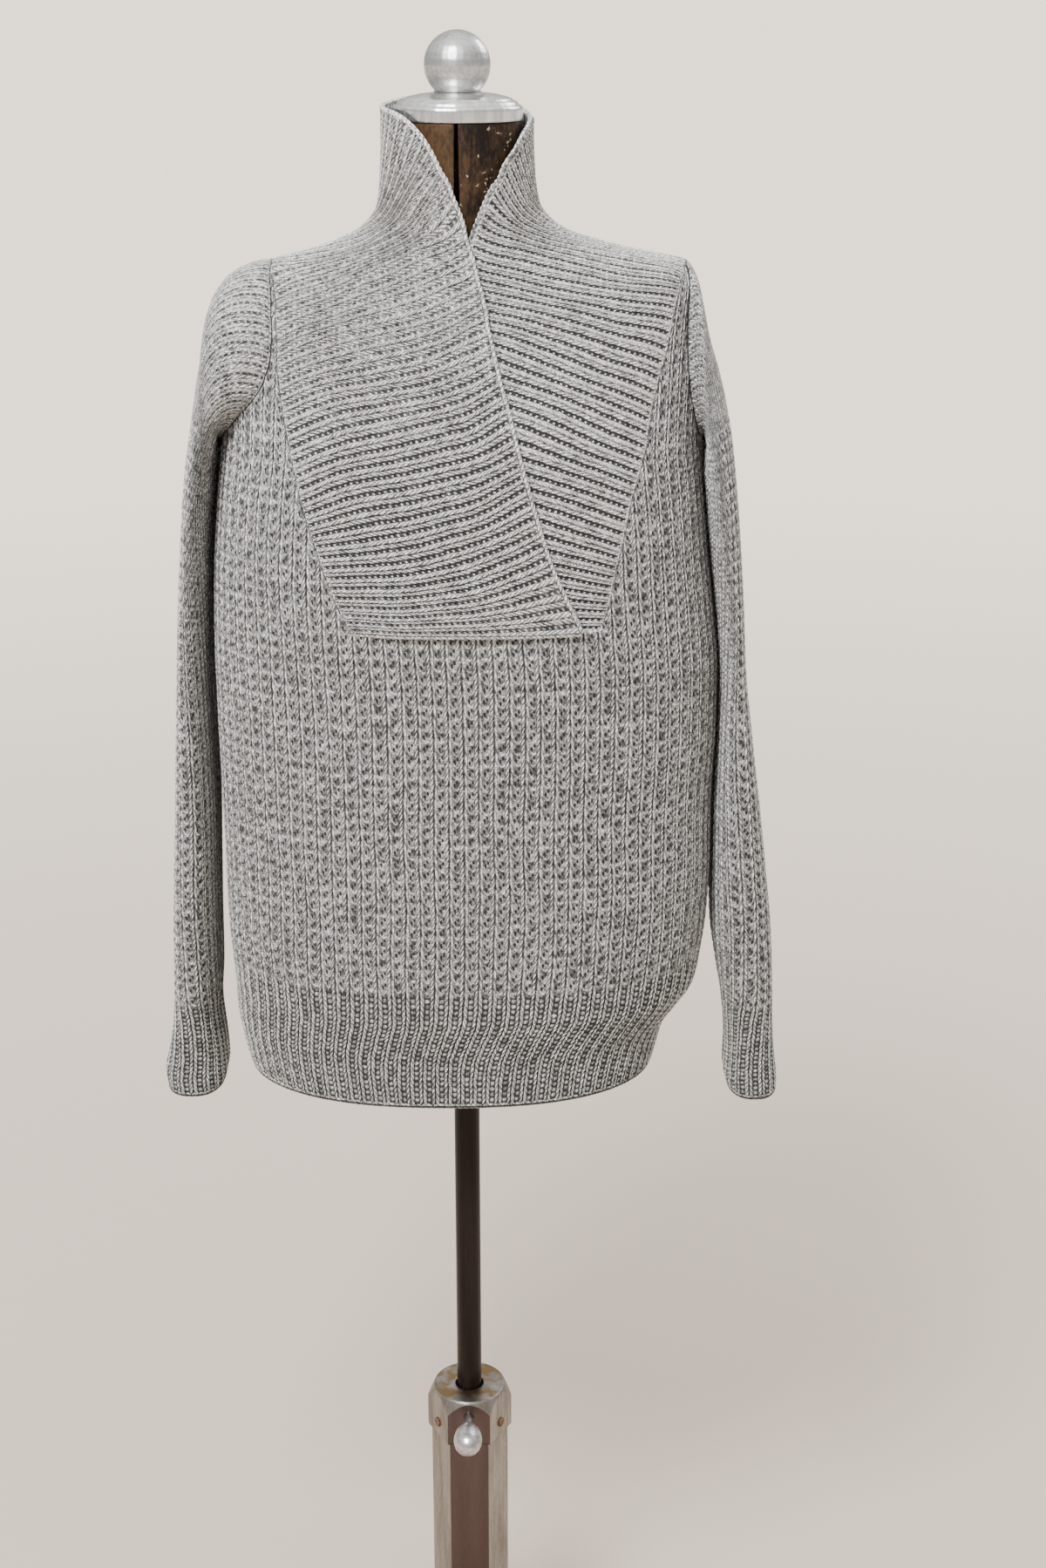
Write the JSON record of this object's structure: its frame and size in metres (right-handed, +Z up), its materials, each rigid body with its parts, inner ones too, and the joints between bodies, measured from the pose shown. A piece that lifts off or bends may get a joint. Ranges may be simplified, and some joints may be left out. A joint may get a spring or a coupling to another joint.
{
  "type": "pullover sweater on a limbless dress form with its stand",
  "caption": "Chunky rib-knit pullover sweater with a deep shawl collar that crosses at the front, on a limbless dress form with a capped neck, ball finial, pole and floor stand.",
  "frame": {"origin": "Middle of the bounding box's underside: on the floor, on the axis of the pole.", "axes": "+Z is up, along the pole. -Y is the way the sweater's front and its collar opening face. +X is the wearer's left. Metres."},
  "size_m": [0.58, 0.58, 1.5924],
  "materials": {
    "knit": "light heather grey yarn, rib knit, matt and soft",
    "form_skin": "worn brown leathercloth, half matt",
    "bright_metal": "turned and brushed bright aluminium",
    "stand_metal": "tarnished warm grey metal, satin",
    "pole_metal": "polished, with brown reflections",
    "screw_metal": "rusty brown",
    "foot_rubber": "matt black rubber"
  },
  "bodies": {
    "stand": {"column": "stand_metal", "hub": "stand_metal", "hub_screw_right": "screw_metal", "hub_screw_left": "screw_metal", "hub_screw_back": "screw_metal", "base_boss": "stand_metal", "leg_front": "stand_metal", "leg_left": "stand_metal", "leg_back": "stand_metal", "leg_right": "stand_metal", "foot_front": "foot_rubber", "foot_left": "foot_rubber", "foot_back": "foot_rubber", "foot_right": "foot_rubber"},
    "post": {"pole": "pole_metal"},
    "figure": {"dress_form": "form_skin", "neck_cap": "bright_metal", "ball_finial": "bright_metal", "front": "knit", "back": "knit", "sleeve_right": "knit", "sleeve_left": "knit", "collar_right": "knit", "collar_left": "knit"},
    "clamp": {"clamp_knob": "bright_metal"}
  },
  "joints": [
    {"name": "height", "type": "slide", "parent": "stand", "child": "post", "axis": [0, 0, 1], "range_m": [-0.19, 0.05]},
    {"name": "swivel", "type": "hinge", "parent": "post", "child": "figure", "pos_m": [0, 0, 1.15], "axis": [0, 0, 1], "continuous": true},
    {"name": "clamp_turn", "type": "hinge", "parent": "stand", "child": "clamp", "pos_m": [0, -0.034, 0.38], "axis": [0, 1, 0], "range_deg": [-180, 90]}
  ]
}
